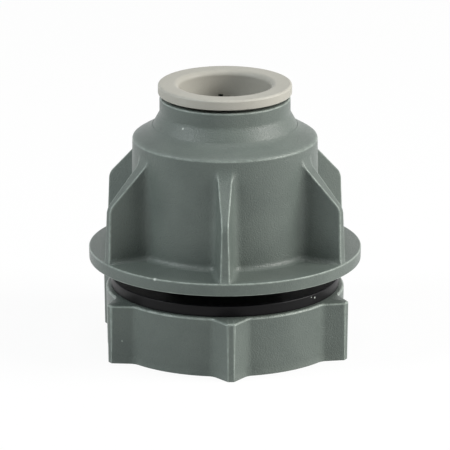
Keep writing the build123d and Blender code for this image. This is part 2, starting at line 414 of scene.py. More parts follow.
def moulded(
    name, dark, light, edge, roughness, grains, bump=0.1, highlight_strength=0.4, specular=0.4, marks=()
):
    """A moulded finish: mottled colour, ragged painted highlights on the edges, and fine grain in the bump
    and the roughness.

    The blend from dark to light is 1.6 * mottle + 0.5 * speckle - 0.55, kept within 0 to 1. Each mark is
    a speck in it: x, y, z and radius in millimetres, and its colour.
    """
    material = bpy.data.materials.new(name)
    material.use_nodes = True
    tree = material.node_tree
    shader = tree.nodes["Principled BSDF"]
    grained = place_group(tree, grain, Grains_per_metre=grains)
    highlighted = place_group(tree, painted_edge_highlight, Strength=highlight_strength)
    slow = maths(tree, "MULTIPLY_ADD", grained.outputs["Mottle"], MOTTLE_GAIN, BLEND_SHIFT)
    blend = tree.nodes.new("ShaderNodeClamp")
    speckled = maths(tree, "MULTIPLY_ADD", grained.outputs["Speckle"], SPECKLE_GAIN, slow)
    tree.links.new(speckled, blend.inputs["Value"])
    face = tint(tree, blend.outputs[0], linear(dark), linear(light))
    # The edge colour is a painted highlight, mixed in where the surface bends sharply.
    colour = tint(tree, highlighted.outputs["Mask"], face, linear(edge))
    for x, y, z, radius, speck in marks:
        mark = place_group(tree, spot, X_mm=x, Y_mm=y, Z_mm=z, Radius_mm=radius)
        colour = tint(tree, mark.outputs["Mask"], colour, linear(speck))
    tree.links.new(colour, shader.inputs["Base Color"])
    rough = maths(tree, "MULTIPLY_ADD", highlighted.outputs["Mask"], EDGE_GLOSS, roughness)
    rough = maths(tree, "MULTIPLY_ADD", grained.outputs["Speckle"], SPECKLE_DULLNESS, rough)
    tree.links.new(rough, shader.inputs["Roughness"])
    shader.inputs["Specular IOR Level"].default_value = specular
    relief = tree.nodes.new("ShaderNodeBump")
    relief.inputs["Strength"].default_value = bump
    relief.inputs["Distance"].default_value = GRAIN_DEPTH
    tree.links.new(grained.outputs["Height"], relief.inputs["Height"])
    tree.links.new(relief.outputs["Normal"], shader.inputs["Normal"])
    return material


# %% [markdown]
# ### The five finishes
# The grey mouldings have a clear grain and a satin gloss. The collet is smoother and pale, the washer is
# black rubber that reflects little. The seal and the spacer are hidden, but keep the finish of their kind.

# %% The five finishes
PALE_SPECK, DARK_SPECK = (200, 206, 200), (30, 34, 33)
grey_marks = [
    (-11.4, -19.28, 16.6, 0.42, PALE_SPECK),
    (-6.86, -8.65, 38.95, 0.26, PALE_SPECK),
    (-10.6, -5.1, 38.0, 0.34, DARK_SPECK),
    (13.2, -8.1, 24.2, 0.26, PALE_SPECK),
    (-16.9, -12.8, 3.9, 0.25, PALE_SPECK),
]
rubber_marks = [(14.72, -11.78, 11.1, 0.24, PALE_SPECK), (14.15, -12.45, 11.35, 0.16, PALE_SPECK)]
# Each finish's edge colour is a painted highlight on its rounded rims.
grey_plastic = moulded(
    "grey_plastic", dark=(84, 92, 88), light=(95, 103, 98), edge=(158, 168, 161), roughness=0.31,
    grains=4800.0, bump=0.9, highlight_strength=0.7, specular=0.29, marks=grey_marks,
)
pale_plastic = moulded(
    "pale_plastic", dark=(152, 150, 142), light=(159, 157, 149), edge=(184, 183, 175), roughness=0.45,
    grains=3000.0, specular=0.25,
)
black_rubber = moulded(
    "black_rubber", dark=(7, 7, 8), light=(11, 10, 12), edge=(30, 30, 34), roughness=0.36,
    grains=2500.0, bump=0.2, specular=0.16, marks=rubber_marks,
)
seal_rubber = moulded(
    "seal_rubber", dark=(18, 18, 18), light=(26, 26, 26), edge=(44, 44, 44), roughness=0.35,
    grains=3000.0, highlight_strength=0.3,
)
spacer_plastic = moulded(
    "spacer_plastic", dark=(168, 168, 160), light=(180, 180, 172), edge=(200, 200, 192), roughness=0.45,
    grains=3000.0,
)
print("finishes:", [m.name for m in bpy.data.materials])

# %% [markdown]
# ## Surfaces as grids
# A turned or moulded piece is a closed ring of outlines. One way round the grid follows the outline, the
# other way goes round the axis, and both ways join up, so the mesh is closed and has no poles. Each grid
# point also carries its exact normal, which keeps flat faces flat right up to a small round.

# %% Facing outwards, and the bend at each point
FLAT_BEND, ROUND_BEND = 0.3, 2.5


def outward(points, faces):
    """The faces, turned over if their signed volume is negative.

    The volume is the sum of a * (b x c + c x d) over all faces, with b, c and d taken from corner a.
    """
    first = points[faces[:, 0]]
    second, third, fourth = (points[faces[:, k]] - first for k in (1, 2, 3))
    volume = np.einsum("ij,ij->i", first, np.cross(second, third) + np.cross(third, fourth)).sum()
    return faces if volume > 0 else faces[:, ::-1]


def convexity(points, normals):
    """How sharply a grid bends outwards at each point, from 0 on a flat face to 1 on a small round.

    Along each way of the grid it is the change of normal over the change of place, per millimetre. The
    larger of the two is scaled from the bend that counts as flat to the one that counts as a round.
    """
    bends = []
    for way in (0, 1):
        run = np.roll(points, -1, way) - np.roll(points, 1, way)
        turn = np.roll(normals, -1, way) - np.roll(normals, 1, way)
        bends.append(np.sum(run * turn, -1) / np.maximum(np.sum(run * run, -1), 1e-6))
    return np.clip((np.maximum(*bends) - FLAT_BEND) / (ROUND_BEND - FLAT_BEND), 0, 1)


# %% Making a piece from a grid
SHARP_TURN = math.radians(50)


def skin(name, points, normals, body, slot, material, node=None, ring=True):
    """A piece from a grid of points in millimetres that closes both ways, with its own normals.

    The corner of a face takes the point's normal, or the face's own where they differ by over 50 degrees.
    A piece that is no ring keeps its first and last outline open, and each is closed by a face of its own.
    """
    count = points.shape[0] * points.shape[1]
    index = np.arange(count).reshape(points.shape[:2])
    right = np.roll(index, -1, 0)
    faces = np.stack([index, right, np.roll(right, -1, 1), np.roll(index, -1, 1)], -1)
    faces = (faces if ring else faces[:-1]).reshape(-1, 4)
    flat = points.reshape(-1, 3)
    kept = outward(flat, faces)
    ends = [] if ring else [index[0].tolist(), index[-1].tolist()[::-1]]
    if not np.array_equal(kept, faces):
        ends = [loop[::-1] for loop in ends]
    mesh = bpy.data.meshes.new(name)
    mesh.from_pydata((flat / PER_METRE).tolist(), [], kept.tolist() + ends)
    bends = mesh.attributes.new("edge", "FLOAT", "POINT")
    bends.data.foreach_set("value", convexity(points, normals).ravel())
    own = np.zeros(len(mesh.polygons) * 3)
    mesh.polygons.foreach_get("normal", own)
    own = own.reshape(-1, 1, 3)
    sides = np.repeat(own[: len(kept)], 4, 1)
    given = normals.reshape(-1, 3)[kept]
    agree = np.sum(sides * given, -1, keepdims=True) > math.cos(SHARP_TURN)
    caps = np.repeat(own[len(kept) :], points.shape[1], 1).reshape(-1, 3)
    corners = np.concatenate([np.where(agree, given, sides).reshape(-1, 3), caps])
    mesh.polygons.foreach_set("use_smooth", np.ones(len(mesh.polygons), bool))
    mesh.normals_split_custom_set(corners.tolist())
    mesh.materials.append(material)
    piece = bpy.data.objects.new(name, mesh)
    scene.collection.objects.link(piece)
    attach(piece, body)
    if node:
        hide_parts(node)
    print(f"{name}: {len(mesh.polygons)} faces")


# %% [markdown]
# ## Outlines with rounded corners
# An outline is a short list of corners, each with its radius, height and rounding. At each corner an arc
# is laid that touches both sides: its centre lies on the corner's bisector, and the normal turns evenly
# from one side's to the next's. Turning the outline about the axis gives the piece.

# %% Outlines and turning


def outline(corners, closed=True, steps=5):
    """Points and normals along corners of (radius, height, round), walked with the solid on the left.

    An arc's tangent turns evenly from one side to the next, its normal is that tangent turned right by a
    quarter, and its points lie one round from the centre against or along the normal.
    """
    places = np.array([corner[:2] for corner in corners], float)
    rounds = [corner[2] for corner in corners]
    points, normals = [], []
    for number, (place, size) in enumerate(zip(places, rounds)):
        before = places[number - 1]
        after = places[(number + 1) % len(places)]
        arrive = (place - before) / np.hypot(*(place - before))
        leave = (after - place) / np.hypot(*(after - place))
        if not closed and number in (0, len(places) - 1):
            way = leave if number == 0 else arrive
            points.append(place[None])
            normals.append(np.array([[way[1], -way[0]]]))
            continue
        turn = math.atan2(arrive[0] * leave[1] - arrive[1] * leave[0], float(arrive @ leave))
        start = math.atan2(arrive[1], arrive[0])
        angles = start + turn * np.linspace(0, 1, steps)
        normal = np.stack([np.sin(angles), -np.cos(angles)], -1)
        side = 1.0 if turn > 0 else -1.0
        centre = place - arrive * size * abs(math.tan(turn / 2)) - side * size * normal[0]
        points.append(centre + side * size * normal)
        normals.append(normal)
    return np.concatenate(points), np.concatenate(normals)


def turned(points, normals, angles):
    """The grid of an outline turned to each angle, (radius * cos, radius * sin, height), with normals."""
    along = np.stack([np.cos(angles), np.sin(angles)], -1)

    def swept(values):
        flat = along[:, None, :] * values[None, :, :1]
        height = np.broadcast_to(values[None, :, 1:], (len(angles), len(values), 1))
        return np.concatenate([flat, height], -1)

    return swept(points), swept(normals)


def even_angles(count):
    """Evenly spaced angles round the axis, in radians."""
    return np.arange(count) * 2 * np.pi / count


rounded_square = outline([(1, 0, 0.1), (2, 0, 0.1), (2, 1, 0.1), (1, 1, 0.1)])[0]
print("a square with rounded corners has", len(rounded_square), "points")

# %% [markdown]
# ## Collet cap
# The cap is a ring that was turned up out of the barrel's mouth: a skirt inside, a flare that narrows
# steeply, and a straight neck. It is round all over, so a turned outline is enough.

# %% Collet cap
neck_radius = 10.78
neck_bore_radius = 9.05
flare_top = mouth_top + 2.48
cap_bore_radius = 10.4
cone_start, cone_end = neck_top - 2.2, neck_top - 6.616
cap_corners = [
    (cap_bore_radius, cap_seat, 0.15),
    (cap_radius, cap_seat, 0.15),
    (cap_radius, mouth_top, 0.1),
    (neck_radius, flare_top, 1.3),
    (neck_radius, neck_top, 0.3),
    (neck_bore_radius, neck_top, 0.25),
    (neck_bore_radius, cone_start, 0.5),
    (cap_bore_radius, cone_end, 0.5),
]
cap_grid = turned(*outline(cap_corners), even_angles(192))
skin("cap", *cap_grid, "fitting", "body_plastic", grey_plastic, "collet_cap")

# %% [markdown]
# ## Washers and seal
# The black sealing washer is a flat rubber ring with barely rounded edges. The spacer and the round seal
# below the collet are hidden, but they show through the bore from above. All three are turned outlines.

# %% Sealing washer
washer_bore_radius = 10.7
washer_corners = [
    (washer_bore_radius, washer_bottom, 0.12),
    (washer_radius, washer_bottom, 0.18),
    (washer_radius, washer_top, 0.22),
    (washer_bore_radius, washer_top, 0.12),
]
washer_grid = turned(*outline(washer_corners), even_angles(256))
skin("washer", *washer_grid, "washer", "washer_rubber", black_rubber, "sealing_washer")

# %% Spacer and seal
spacer_bore_radius = 7.7
spacer_corners = [
    (spacer_bore_radius, spacer_seat, 0.15),
    (spacer_radius, spacer_seat, 0.15),
    (spacer_radius, spacer_top, 0.15),
    (spacer_bore_radius, spacer_top, 0.15),
]
spacer_grid = turned(*outline(spacer_corners), even_angles(128))
skin("spacer", *spacer_grid, "fitting", "spacer_plastic", spacer_plastic, "spacer_washer")
seal_half = (seal_top - seal_seat) / 2
ring_angles = even_angles(28)
ring_normals = np.stack([np.cos(ring_angles), np.sin(ring_angles)], -1)
ring_centre = np.array([seal_outer_radius - seal_half, seal_seat + seal_half])
seal_grid = turned(ring_centre + seal_half * ring_normals, ring_normals, even_angles(128))
skin("seal", *seal_grid, "fitting", "seal_rubber", seal_rubber, "o_ring")

# %% [markdown]
# ## Shapes as distances
# Ribs and lugs aren't turned. Each is described by a distance: a number for any point that is negative
# inside the shape, zero on its surface and positive outside. Two shapes are joined by taking the smaller
# distance, or cut to their common part by the larger, and both ways can be given a round. A first guess of
# the surface is then moved onto the zero of that distance along its slope.

# %% Distances and rounds


def joined(first, second, size):
    """The distance to two shapes together, with a fillet of the given size where they meet.

    Where both distances a and b are under the size s, it is s - hypot(s - a, s - b): a circle that
    touches both surfaces. Elsewhere it is the smaller of the two.
    """
    inner = np.hypot(np.maximum(size - first, 0), np.maximum(size - second, 0))
    return np.maximum(size, np.minimum(first, second)) - inner


def common(first, second, size):
    """The distance to the part that two shapes share, with a round of the given size on its edge.

    Where both distances a and b are over -s, it is hypot(s + a, s + b) - s. Elsewhere it is the larger.
    """
    outer = np.hypot(np.maximum(size + first, 0), np.maximum(size + second, 0))
    return np.minimum(-size, np.maximum(first, second)) + outer


def cone(radius, height, low, high):
    """The distance to a cone's side through two (radius, height) points, positive on its outer side.

    With run = low radius - high radius and rise = high height - low height, it is
    ((radius - low radius) * rise + (height - low height) * run) / hypot(run, rise).
    """
    run, rise = low[0] - high[0], high[1] - low[1]
    return ((radius - low[0]) * rise + (height - low[1]) * run) / math.hypot(run, rise)


def folded(points, count, start):
    """Each point's (along, across) place beside the nearest of count arms that start at an angle.

    The angle round the axis is wrapped into one arm's share, and across is never negative.
    """
    angle = np.arctan2(points[..., 1], points[..., 0]) - start
    share = 2 * np.pi / count
    angle = (angle + share / 2) % share - share / 2
    distance = np.hypot(points[..., 0], points[..., 1])
    return distance * np.cos(angle), np.abs(distance * np.sin(angle))


joint = float(joined(1.0, 1.0, 2.0))
print("a joint of two distances of 1 mm with a 2 mm fillet lies", round(joint, 3), "mm away")

# %% Settling a guess onto a distance
SLOPE_STEP, FARTHEST_MOVE, LEAST_SQUARE = 0.002, 0.3, 0.05


def slope_of(distance, points):
    """The gradient at each point, along each axis (distance ahead - distance behind) / twice the step."""
    parts = []
    for axis in range(3):
        shift = np.zeros(3)
        shift[axis] = SLOPE_STEP
        parts.append((distance(points + shift) - distance(points - shift)) / (2 * SLOPE_STEP))
    return np.stack(parts, -1)


def settle(distance, points, rounds=12):
    """Points moved onto the surface, each round by -distance * slope / slope squared, and unit normals."""
    for _ in range(rounds):
        slope = slope_of(distance, points)
        square = np.maximum(np.sum(slope * slope, -1, keepdims=True), LEAST_SQUARE)
        move = np.clip(distance(points)[..., None] / square, -FARTHEST_MOVE, FARTHEST_MOVE)
        points = points - move * slope
    slope = slope_of(distance, points)
    return points, slope / np.linalg.norm(slope, axis=-1, keepdims=True)


# %% [markdown]
# ## Grid lines that follow the arms
# Ribs and lugs are both arms that repeat round the axis. A grid with even lines would cut across their
# narrow rounded rims and leave notches there. So the lines are laid close together along each rim and each
# root, given as shares of the way down the flank and along the fillet, and spread evenly between arms.

# %% Lines and rows round the axis
TOP_SHARES = np.array([0.0, 0.3, 0.55, 0.7, 0.8, 0.88, 0.95])
FLANK_SHARES = np.array([0, 0.015, 0.035, 0.06, 0.1, 0.2, 0.4, 0.6, 0.8, 0.9, 0.96, 1.0])
FILLET_SHARES = np.array([0.12, 0.26, 0.4, 0.55, 0.7, 0.85, 1.0])
BETWEEN_SHARES = np.linspace(0, 1, 11)[1:]


def grid_across(rim, root, half_at, between, fillet):
    """Angles across one arm's share, for each row, from one side to the other.

    rim and root are the arm's ends along it, and half_at gives its half width there. Each angle is the
    arc tangent of across over along, first over the tip, then down the flank, then to halfway between
    two arms.
    """
    rim = rim[:, None]
    top_angles = np.arctan2(TOP_SHARES * half_at(rim), rim)
    drop = rim - (rim - root) * FLANK_SHARES
    flank_angles = np.arctan2(half_at(drop), drop)
    foot = flank_angles[:, -1:] + FILLET_SHARES * fillet
    rest = foot[:, -1:] + (between - foot[:, -1:]) * BETWEEN_SHARES
    half = np.concatenate([top_angles, flank_angles, foot, rest], 1)
    return np.concatenate([-half[:, :0:-1], half[:, :-1]], 1)


def as_rows(angles, radius, height):
    """Rows of (angle, radius, height), each spread out to one value per row and line."""
    return np.stack(np.broadcast_arrays(angles, radius, height), 1)


def all_lines(lines, count, start):
    """The lines of one arm's share, repeated at start + k * 2 pi / count for each arm k."""
    turns = start + np.arange(count) * 2 * np.pi / count
    return (lines + turns[:, None]).ravel()


def sector_points(rows, count, start):
    """A grid of (line, row) points from rows of (angle, radius, height), repeated round the axis."""
    angle, radius, height = rows[:, 0].T, rows[:, 1].T, rows[:, 2].T
    turns = start + np.arange(count) * 2 * np.pi / count
    angle = (angle[None] + turns[:, None, None]).reshape(-1, angle.shape[1])
    radius, height = np.tile(radius, (count, 1)), np.tile(height, (count, 1))
    return np.stack([radius * np.cos(angle), radius * np.sin(angle), height], -1)


print("lines down one flank:", len(FLANK_SHARES), "and along its fillet:", len(FILLET_SHARES))

# %% [markdown]
# ## Body
# The body is the flange, the barrel with its six gusset ribs, and the threaded tail. Ribs and barrel lean
# in a little towards the top, because the moulding was drawn out of its mould that way. One distance
# describes the whole outside, with the flange, the bevel, the shoulder and all the fillets.

# %% Body: named sizes
flange_bottom = washer_top + 2.8
flange_top = flange_bottom + 2.1
barrel_radius, shoulder_radius, mouth_radius = 15.25, 14.0, 12.2
barrel_top, bevel_top = mouth_top - 1.7, mouth_top - 0.8
barrel_lean, rib_lean = math.tan(math.radians(0.8)), math.tan(math.radians(1.6))
barrel_foot = barrel_radius + (barrel_top - flange_top) * barrel_lean
rib_count, rib_tip, rib_root_half, rib_tip_half = 6, 22.3, 1.7, 0.8
rib_corner, rib_top = flange_top + 9.3, barrel_top - 2.35
rib_start = -math.pi / 2
rib_root = math.sqrt(barrel_foot**2 - rib_root_half**2)
rib_fall = (rib_root_half - rib_tip_half) / (rib_tip - rib_root)
rib_corner_radius = rib_tip - (rib_corner - flange_top) * rib_lean
rib_slope = (rib_top - rib_corner) / (rib_corner_radius - barrel_radius)
foot_round, rib_round, corner_round, rim_round, flange_edge_round = 1.05, 0.95, 0.6, 0.2, 0.2
bevel_round, shoulder_round, flare_fillet, flare_depth = 0.22, 0.35, 0.55, 0.7
least_fillet, fillet_gain = 0.2, 1.2
print(f"rib's corner at radius {rib_corner_radius:.2f}, barrel's foot at radius {barrel_foot:.2f} mm")

# %% Body: its distance


def rib_half(along, height):
    """The rib's half width: that of its root, less a fall along it and a lean with height."""
    return rib_root_half - rib_fall * (along - rib_root) - (height - flange_top) * rib_lean


def rib_distance(points):
    """The ribs: what flanks, upright tip and sloping top share, with a rounded corner and rounded rims."""
    along, across = folded(points, rib_count, rib_start)
    height = points[..., 2]
    tip = along - rib_tip + (height - flange_top) * rib_lean
    top = (height - rib_top + rib_slope * (along - barrel_radius)) / math.hypot(1, rib_slope)
    side = (across - rib_half(along, height)) / math.hypot(1, rib_fall)
    return common(common(tip, top, corner_round), side, rim_round)


def body_distance(points):
    """The body's outside: barrel with bevel and shoulder, flange, and ribs with fillets to both.

    The ribs' fillet shrinks towards the flange's rim, where there is no room for it.
    """
    radius = np.hypot(points[..., 0], points[..., 1])
    height = points[..., 2]
    bevel = cone(radius, height, (barrel_radius, barrel_top), (shoulder_radius, bevel_top))
    shoulder = cone(radius, height, (shoulder_radius, bevel_top), (mouth_radius, mouth_top))
    wall = radius - barrel_radius - (barrel_top - height) * barrel_lean
    barrel = common(common(wall, bevel, bevel_round), shoulder, shoulder_round)
    flare = cone(radius, height, (cap_radius, mouth_top), (neck_radius, flare_top))
    barrel = joined(barrel, np.maximum(flare, mouth_top - flare_depth - height), flare_fillet)
    flange = common(radius - flange_radius, height - flange_top, flange_edge_round)
    fillet = np.clip((flange_radius - flange_edge_round - radius) * fillet_gain, least_fillet, rib_round)
    return joined(joined(barrel, flange, foot_round), rib_distance(points), fillet)


beside_barrel = np.array([barrel_radius + 1.2, 0.5, rib_top + 1.55])
print("a point beside the barrel is", round(float(body_distance(beside_barrel)), 2), "mm away")

# %% [markdown]
# ### Rows up the outside
# A first guess of the surface is laid row by row. The rows start on the flange's rim, cross the flange to
# the foot, go up the barrel or the rib's tip and end at the mouth. Rows on the flange keep the rib's plan,
# rows on the barrel keep a height, and they lie closer together at the rib's corner and top.

# %% Body: the plan, and the heights of the rows


def plan_radius(angles, height):
    """The radius of barrel and rib in plan at each angle from the rib's middle, with no rounds.

    It is the larger of the barrel's radius and the rib's, which is the smaller of tip and flank.
    """
    rise = height - flange_top
    on_flank = (rib_root_half + rib_fall * rib_root - rise * rib_lean) / (np.tan(np.abs(angles)) + rib_fall)
    on_tip = np.minimum(rib_tip - rise * rib_lean, barrel_radius + (rib_top - height) / rib_slope)
    barrel = barrel_foot - rise * barrel_lean
    return np.maximum(barrel, np.minimum(on_tip, on_flank) / np.cos(angles))


def fractions(*stretches):
    """Row places from stretches of (start, end, count), each with its start and without its end."""
    return np.concatenate([np.linspace(a, b, n, endpoint=False) for a, b, n in stretches])


# The densest stretches are the rounds at the rib's corner, at the rib's top and under the bevel.
heights = fractions(
    (flange_top + 1.15, rib_corner - 1.6, 10),
    (rib_corner - 1.6, rib_corner + 1.4, 16),
    (rib_corner + 1.4, rib_top - 1.2, 15),
    (rib_top - 1.2, rib_top + 0.8, 12),
    (rib_top + 0.8, barrel_top - 0.45, 3),
    (barrel_top - 0.45, barrel_top + 0.2, 7),
)
upright_reach = rib_tip - (heights - flange_top) * rib_lean
sloping_reach = barrel_radius + (rib_top - heights) / rib_slope
least_reach = rib_root + 0.35
rim_reach = np.maximum(np.minimum(upright_reach, sloping_reach), least_reach)
print("rows on the wall:", len(heights))

# %% Body: lines that follow the ribs
rib_share, line_fillet = math.pi / rib_count, 0.05


def wall_half(along):
    """The rib's half width along it at the height of each row of the wall."""
    return rib_half(along, heights[:, None])


def foot_half(along):
    """The rib's half width along it where it stands on the flange."""
    return rib_half(along, flange_top)


wall_angles = grid_across(rim_reach, rib_root, wall_half, rib_share, line_fillet)
low_angles = grid_across(np.array([rib_tip]), rib_root, foot_half, rib_share, line_fillet)[0]
wall_radius = plan_radius(wall_angles, heights[:, None])
plan_low = plan_radius(low_angles, flange_top)
print("grid on the wall:", wall_radius.shape)

# %% Body: rows of the first guess
edge = flange_edge_round
flat_start = flange_radius - edge
# Where the rib comes near the rim, the foot's rows take this share of the room that is left.
foot_room = 0.85
foot = np.minimum(foot_round, (flat_start - plan_low) * foot_room)
rim_turn = np.linspace(0, math.pi / 2, 6)[:, None]
flat_way = np.linspace(0, 1, 8)[1:-1, None]
foot_turn = np.linspace(0, math.pi / 2, 9)[:-1, None]
# Radius and height over the mouth, from the bevel over the shoulder to the foot of the flare.
top_profile = np.array([
    (14.85, -1.41), (14.5, -1.16), (14.25, -0.98), (14.08, -0.85), (13.9, -0.75), (13.6, -0.62),
    (13.1, -0.41), (12.8, -0.25), (12.55, -0.1), (12.35, 0.03), (12.22, 0.15), (12.12, 0.28), (12.02, 0.45),
])
rim_radius = flat_start + edge * np.cos(rim_turn)
rim_height = flange_top - edge + edge * np.sin(rim_turn)
foot_radius = plan_low + foot * (1 - np.sin(foot_turn))
foot_height = flange_top + foot * (1 - np.cos(foot_turn))
outside = np.concatenate([
    as_rows(low_angles, rim_radius, rim_height),
    as_rows(low_angles, flat_start + (plan_low + foot - flat_start) * flat_way, flange_top),
    as_rows(low_angles, foot_radius, foot_height),
    as_rows(wall_angles, wall_radius, heights[:, None]),
    as_rows(wall_angles[-1], top_profile[:, :1], mouth_top + top_profile[:, 1:]),
])
print("outside rows:", len(outside), "lines per rib:", outside.shape[2])

# %% Body: settle the outside onto its distance
guess = sector_points(outside, rib_count, rib_start)
outside_points, outside_normals = settle(body_distance, guess)
off = np.abs(body_distance(outside_points)).max()
print(f"outside: {outside_points.shape[:2]} grid, at most {off * PER_METRE:.2f} micrometres off")

# %% [markdown]
# ### Below and inside
# Below the flange and inside, the body is round, and a plain outline is enough: mouth, recess of the cap,
# groove of the seal, socket of the tube, waterway, tail, and the flange's underside. It shares the grid
# lines of the outside, so the whole skin is one closed mesh. Between the two, one row is tucked in under
# the flare's foot, so that no painted pale highlight line shows at the joint with the cap.

# %% Body: turned stretches, and the skin
low_lines = all_lines(low_angles, rib_count, rib_start)
lip, lip_depth, tuck = 0.3, 0.5, 0.08
thread_root_radius = 9.36
waterway_radius, socket_radius, groove_radius, recess_radius = 6.5, 7.6, 10.05, 11.05
tube_stop = seal_seat - 8.5
inside_corners = [
    (mouth_radius - lip, mouth_top + lip, 0),
    (mouth_radius, mouth_top - lip_depth, 0.1),
    (mouth_radius, cap_seat, 0.1),
    (recess_radius, cap_seat, 0.1),
    (recess_radius, spacer_seat, 0.1),
    (groove_radius, spacer_seat, 0.1),
    (groove_radius, seal_seat, 0.1),
    (socket_radius, seal_seat, 0.1),
    (socket_radius, tube_stop, 0.1),
    (waterway_radius, tube_stop, 0.2),
    (waterway_radius, tail_end, 0.25),
    (thread_root_radius, tail_end, 0.3),
    (thread_root_radius, flange_bottom, 0.2),
    (flange_radius - 0.05, flange_bottom, 0.18),
    (flange_radius, flange_top - edge - 0.15, 0),
]
inside_points, inside_normals = turned(*outline(inside_corners, closed=False), low_lines)
tuck_normals = outside_normals[:, -1:]
tuck_points = outside_points[:, -1:] - tuck * tuck_normals
body_points = np.concatenate([outside_points, tuck_points, inside_points], 1)
body_normals = np.concatenate([outside_normals, tuck_normals, inside_normals], 1)
skin("body_skin", body_points, body_normals, "fitting", "body_plastic", grey_plastic, "body")

# %% [markdown]
# ## Back nut
# The nut is a round cup with six V-shaped lugs, slightly narrower at the bottom, where the mould was
# drawn off. Its wall is settled onto a distance as the body was, with lines that follow the lugs.

# %% Back nut: named sizes and distance
nut_radius, nut_draft = 19.7, math.radians(1.1)
lug_count, lug_tip, lug_root_half, lug_tip_half = 6, 22.6, 2.95, 0.6
lug_start = -math.pi / 2 + math.radians(2.55)
lug_root = math.sqrt(nut_radius**2 - lug_root_half**2)
lug_root_round, lug_tip_round, nut_edge_round = 0.35, 0.22, 0.38
lug_fall = (lug_root_half - lug_tip_half) / (lug_tip - lug_root)


def lug_half(along):
    """The lug's half width: that of its root, less a fall with the distance along it."""
    return lug_root_half - lug_fall * (along - lug_root)


def nut_distance(points):
    """The nut's outside: disc and lugs, drawn in towards the bottom, with a rounded upper edge."""
    along, across = folded(points, lug_count, lug_start)
    radius = np.hypot(points[..., 0], points[..., 1])
    side = (across - lug_half(along)) / math.hypot(1, lug_fall)
    lug = common(along - lug_tip, side, lug_tip_round)
    plan = joined(radius - nut_radius, lug, lug_root_round)
    wall = (plan + (nut_top - points[..., 2]) * math.tan(nut_draft)) * math.cos(nut_draft)
    return common(wall, points[..., 2] - nut_top, nut_edge_round)


sharp_edge = float(nut_distance(np.array([nut_radius, 0, nut_top])))
print("the sharp top edge would lie", round(sharp_edge, 3), "mm outside the nut")

# %% Back nut: the wall
nut_share, nut_line_fillet = math.pi / lug_count, 0.055
nut_lines = grid_across(np.array([lug_tip]), lug_root, lug_half, nut_share, nut_line_fillet)[0]
nut_flank = (lug_root_half + lug_fall * lug_root) / (np.tan(np.abs(nut_lines)) + lug_fall)
nut_plan = np.maximum(nut_radius, np.minimum(lug_tip, nut_flank) / np.cos(nut_lines))
nut_heights = np.linspace(0, nut_top - nut_edge_round, 8)[:, None]
drawn_in = (nut_top - nut_heights) * math.tan(nut_draft)
edge_turn = np.linspace(0, math.pi / 2, 8)[1:, None]
edge_radius = nut_plan - nut_edge_round * (1 - np.cos(edge_turn))
edge_height = nut_top - nut_edge_round * (1 - np.sin(edge_turn))
nut_rows = np.concatenate([
    as_rows(nut_lines, nut_plan - drawn_in, nut_heights),
    as_rows(nut_lines, edge_radius, edge_height),
])
nut_wall_points, nut_wall_normals = settle(nut_distance, sector_points(nut_rows, lug_count, lug_start))
print("nut's wall:", nut_wall_points.shape[:2], "grid")

# %% [markdown]
# ### The nut from above and below
# Its top and bore are a turned outline. From below it is cored out, as moulded nuts are, so that the
# plastic is equally thick everywhere: six pockets lie between the outer wall and the threaded hub, and a
# thin web stands between each two. Each row of the pockets puts the same number of lines on web and pocket.

# %% Back nut: bore and pockets
hub_radius, pocket_wall_radius, pocket_top, web_half = 13.267, 17.6, nut_top - 1.9, 0.8
nut_thread_root, bore_chamfer, rim_inset = 10.56, 0.35, 0.5
pocket_draft, web_side, web_lines = 0.1, 0.08, 6
bore_corners = [
    (18.9, nut_top, 0),
    (nut_thread_root + bore_chamfer, nut_top, 0.15),
    (nut_thread_root, nut_top - bore_chamfer, 0.15),
    (nut_thread_root, nut_bottom + bore_chamfer, 0.15),
    (nut_thread_root + bore_chamfer, nut_bottom, 0.15),
    (hub_radius - 0.2, nut_bottom, 0),
]
all_nut_lines = all_lines(nut_lines, lug_count, lug_start)
bore_points, bore_normals = turned(*outline(bore_corners, closed=False), all_nut_lines)


def pocket_row(radius, depth):
    """A row of the pockets: at the bottom on the web, within asin(half width / radius), else deep."""
    half_count = len(nut_lines) // 2
    web_edge = math.asin(web_half / radius)
    inner = np.linspace(0, web_edge, web_lines)
    outer = np.linspace(web_edge + web_side / radius, nut_share, half_count + 2 - web_lines)
    half = np.concatenate([inner, outer])[: half_count + 1]
    lines = np.concatenate([-half[:0:-1], half[:-1]])
    deep = np.where(np.abs(lines) > web_edge + 1e-6, depth, 0.0)
    return as_rows(lines, radius, deep[None])


pocket_rows = np.concatenate([
    pocket_row(hub_radius, 0.0),
    pocket_row(hub_radius + pocket_draft, pocket_top),
    pocket_row(14.6, pocket_top),
    pocket_row(16.2, pocket_top),
    pocket_row(pocket_wall_radius - pocket_draft, pocket_top),
    pocket_row(pocket_wall_radius, 0.0),
    as_rows(nut_lines, nut_plan[None] - rim_inset, 0.0),
])
below_points = sector_points(pocket_rows, lug_count, lug_start)
print("pockets:", below_points.shape[:2], "grid")

# %% Back nut: the skin
down = np.broadcast_to(np.array([0.0, 0.0, -1.0]), below_points.shape)
nut_points = np.concatenate([nut_wall_points, bore_points, below_points], 1)
nut_normals = np.concatenate([nut_wall_normals, bore_normals, down], 1)
skin("nut_skin", nut_points, nut_normals, "nut", "body_plastic", grey_plastic, "back_nut")

# %% [markdown]
# ## Collet
# The collet is the pale ring on top. Below its flange a sleeve goes down into the cap and is cut into
# eight sprung fingers. One slot can just be seen through the bore. A boolean would cut the slots, but it
# leaves loose triangles. Here the whole outline is turned, and on the lines inside a slot everything below
# the slot's top is folded up onto it, so that the slot's walls and top come from the same closed grid.

